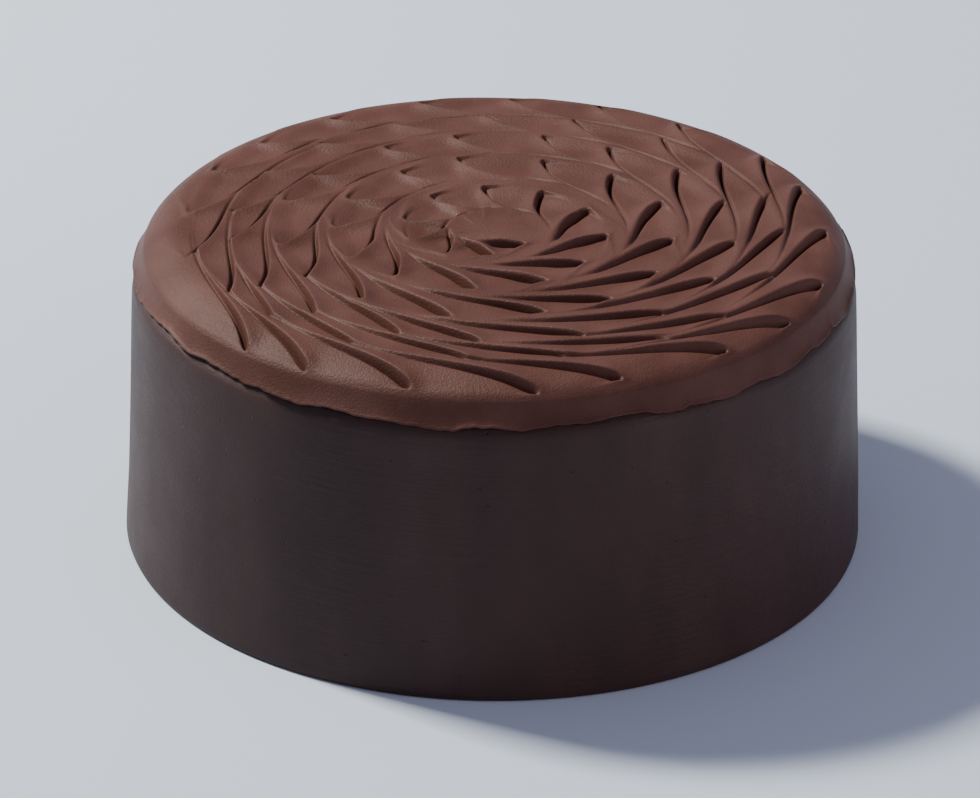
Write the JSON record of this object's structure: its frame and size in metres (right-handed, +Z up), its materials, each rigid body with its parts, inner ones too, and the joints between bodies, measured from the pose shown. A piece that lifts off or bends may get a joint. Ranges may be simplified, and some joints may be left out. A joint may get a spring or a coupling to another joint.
{
  "type": "chocolate layer cake",
  "caption": "Round uncut layer cake with a dark smooth coat up the side and a swirled layer of chocolate frosting across the top",
  "frame": {"origin": "centre of the base, on the surface the cake stands on", "axes": "+Z up along the cake's axis; -Y towards the viewer of the picture; +X to the right"},
  "size_m": [0.2126, 0.2126, 0.0948],
  "materials": {
    "side_coat": "satin",
    "frosting": "satin"
  },
  "bodies": {
    "root": {"cake_body": "side_coat", "top_frosting": "frosting"}
  },
  "joints": []
}
